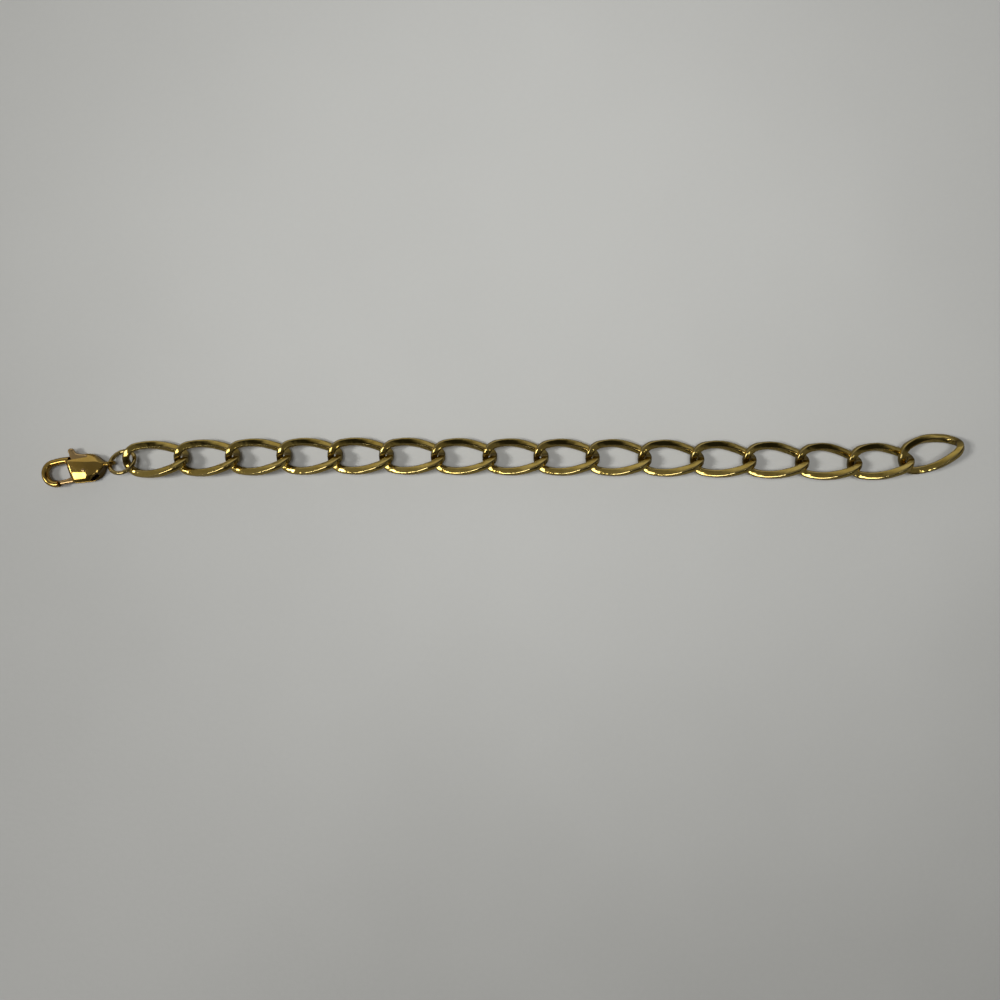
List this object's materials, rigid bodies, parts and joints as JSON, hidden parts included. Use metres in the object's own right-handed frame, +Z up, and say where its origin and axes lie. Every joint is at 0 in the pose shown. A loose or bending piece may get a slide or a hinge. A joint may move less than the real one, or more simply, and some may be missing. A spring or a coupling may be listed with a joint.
{
  "type": "link bracelet",
  "caption": "Open bracelet of twisted square-wire curb links, with a jump ring and a clasp whose sprung lever closes a rounded hook.",
  "frame": {"origin": "centre of the bracelet's underside, on the surface that it lies on", "axes": "+X along the chain from the clasp to the free end link, +Y across it towards the thumb tab, +Z up"},
  "size_m": [0.1914, 0.0112, 0.0059],
  "materials": {
    "gold": "polished"
  },
  "bodies": {
    "bracelet": {"link_01": "gold", "link_02": "gold", "link_03": "gold", "link_04": "gold", "link_05": "gold", "link_06": "gold", "link_07": "gold", "link_08": "gold", "link_09": "gold", "link_10": "gold", "link_11": "gold", "link_12": "gold", "link_13": "gold", "link_14": "gold", "link_15": "gold", "link_16": "gold", "jump_ring": "gold", "clasp_body": "gold", "clasp_pin": "gold"},
    "lever": {"clasp_lever": "gold"}
  },
  "joints": [
    {"name": "lever_swing", "type": "hinge", "parent": "bracelet", "child": "lever", "pos_m": [-0.08652, -0.00197, 0.00176], "axis": [0, 0, -1], "range_deg": [0, 22], "stiffness_Nm_per_rad": 0.002}
  ]
}
